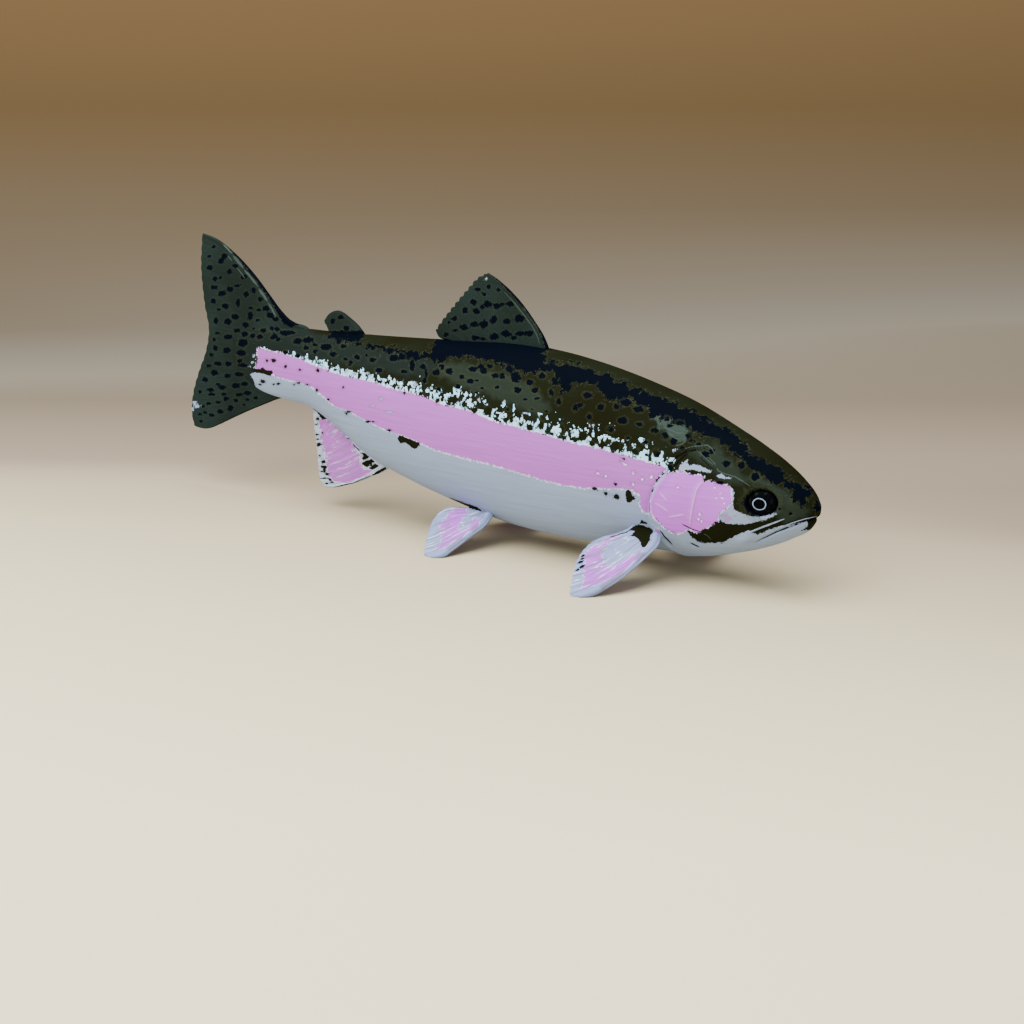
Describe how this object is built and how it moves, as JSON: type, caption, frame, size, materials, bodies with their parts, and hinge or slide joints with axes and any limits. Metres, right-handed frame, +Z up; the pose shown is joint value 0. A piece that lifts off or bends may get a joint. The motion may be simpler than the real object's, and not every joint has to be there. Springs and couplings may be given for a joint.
{
  "type": "rainbow trout figurine",
  "caption": "Plastic rainbow trout figurine printed in olive, navy, pink and white, standing on its pectoral and pelvic fins with the tail raised.",
  "frame": {"origin": "on the floor, midway between snout and tail in the midplane of the fish", "axes": "+X towards the head, +Y to the fish's left side, +Z up"},
  "size_m": [0.16, 0.0498, 0.0564],
  "materials": {
    "olive_plastic": "satin printed plastic, dark olive",
    "navy_plastic": "satin printed plastic, blue-black",
    "pink_plastic": "satin printed plastic, pink",
    "white_plastic": "satin printed plastic, white",
    "body_plastic": "satin printed plastic: olive back with navy spots, pink band and white belly",
    "fin_plastic": "satin printed plastic: pink centre with a white border"
  },
  "bodies": {
    "root": {"head": "olive_plastic", "lower_jaw": "white_plastic", "torso": "body_plastic", "tail_stalk": "body_plastic", "gill_cover_left": "pink_plastic", "gill_cover_right": "pink_plastic", "eye_left": "navy_plastic", "eye_right": "navy_plastic", "caudal_fin": "olive_plastic", "dorsal_fin": "olive_plastic", "adipose_fin": "olive_plastic", "anal_fin": "fin_plastic", "pectoral_fin_left": "fin_plastic", "pectoral_fin_right": "fin_plastic", "pelvic_fin_left": "fin_plastic", "pelvic_fin_right": "fin_plastic"}
  },
  "joints": []
}
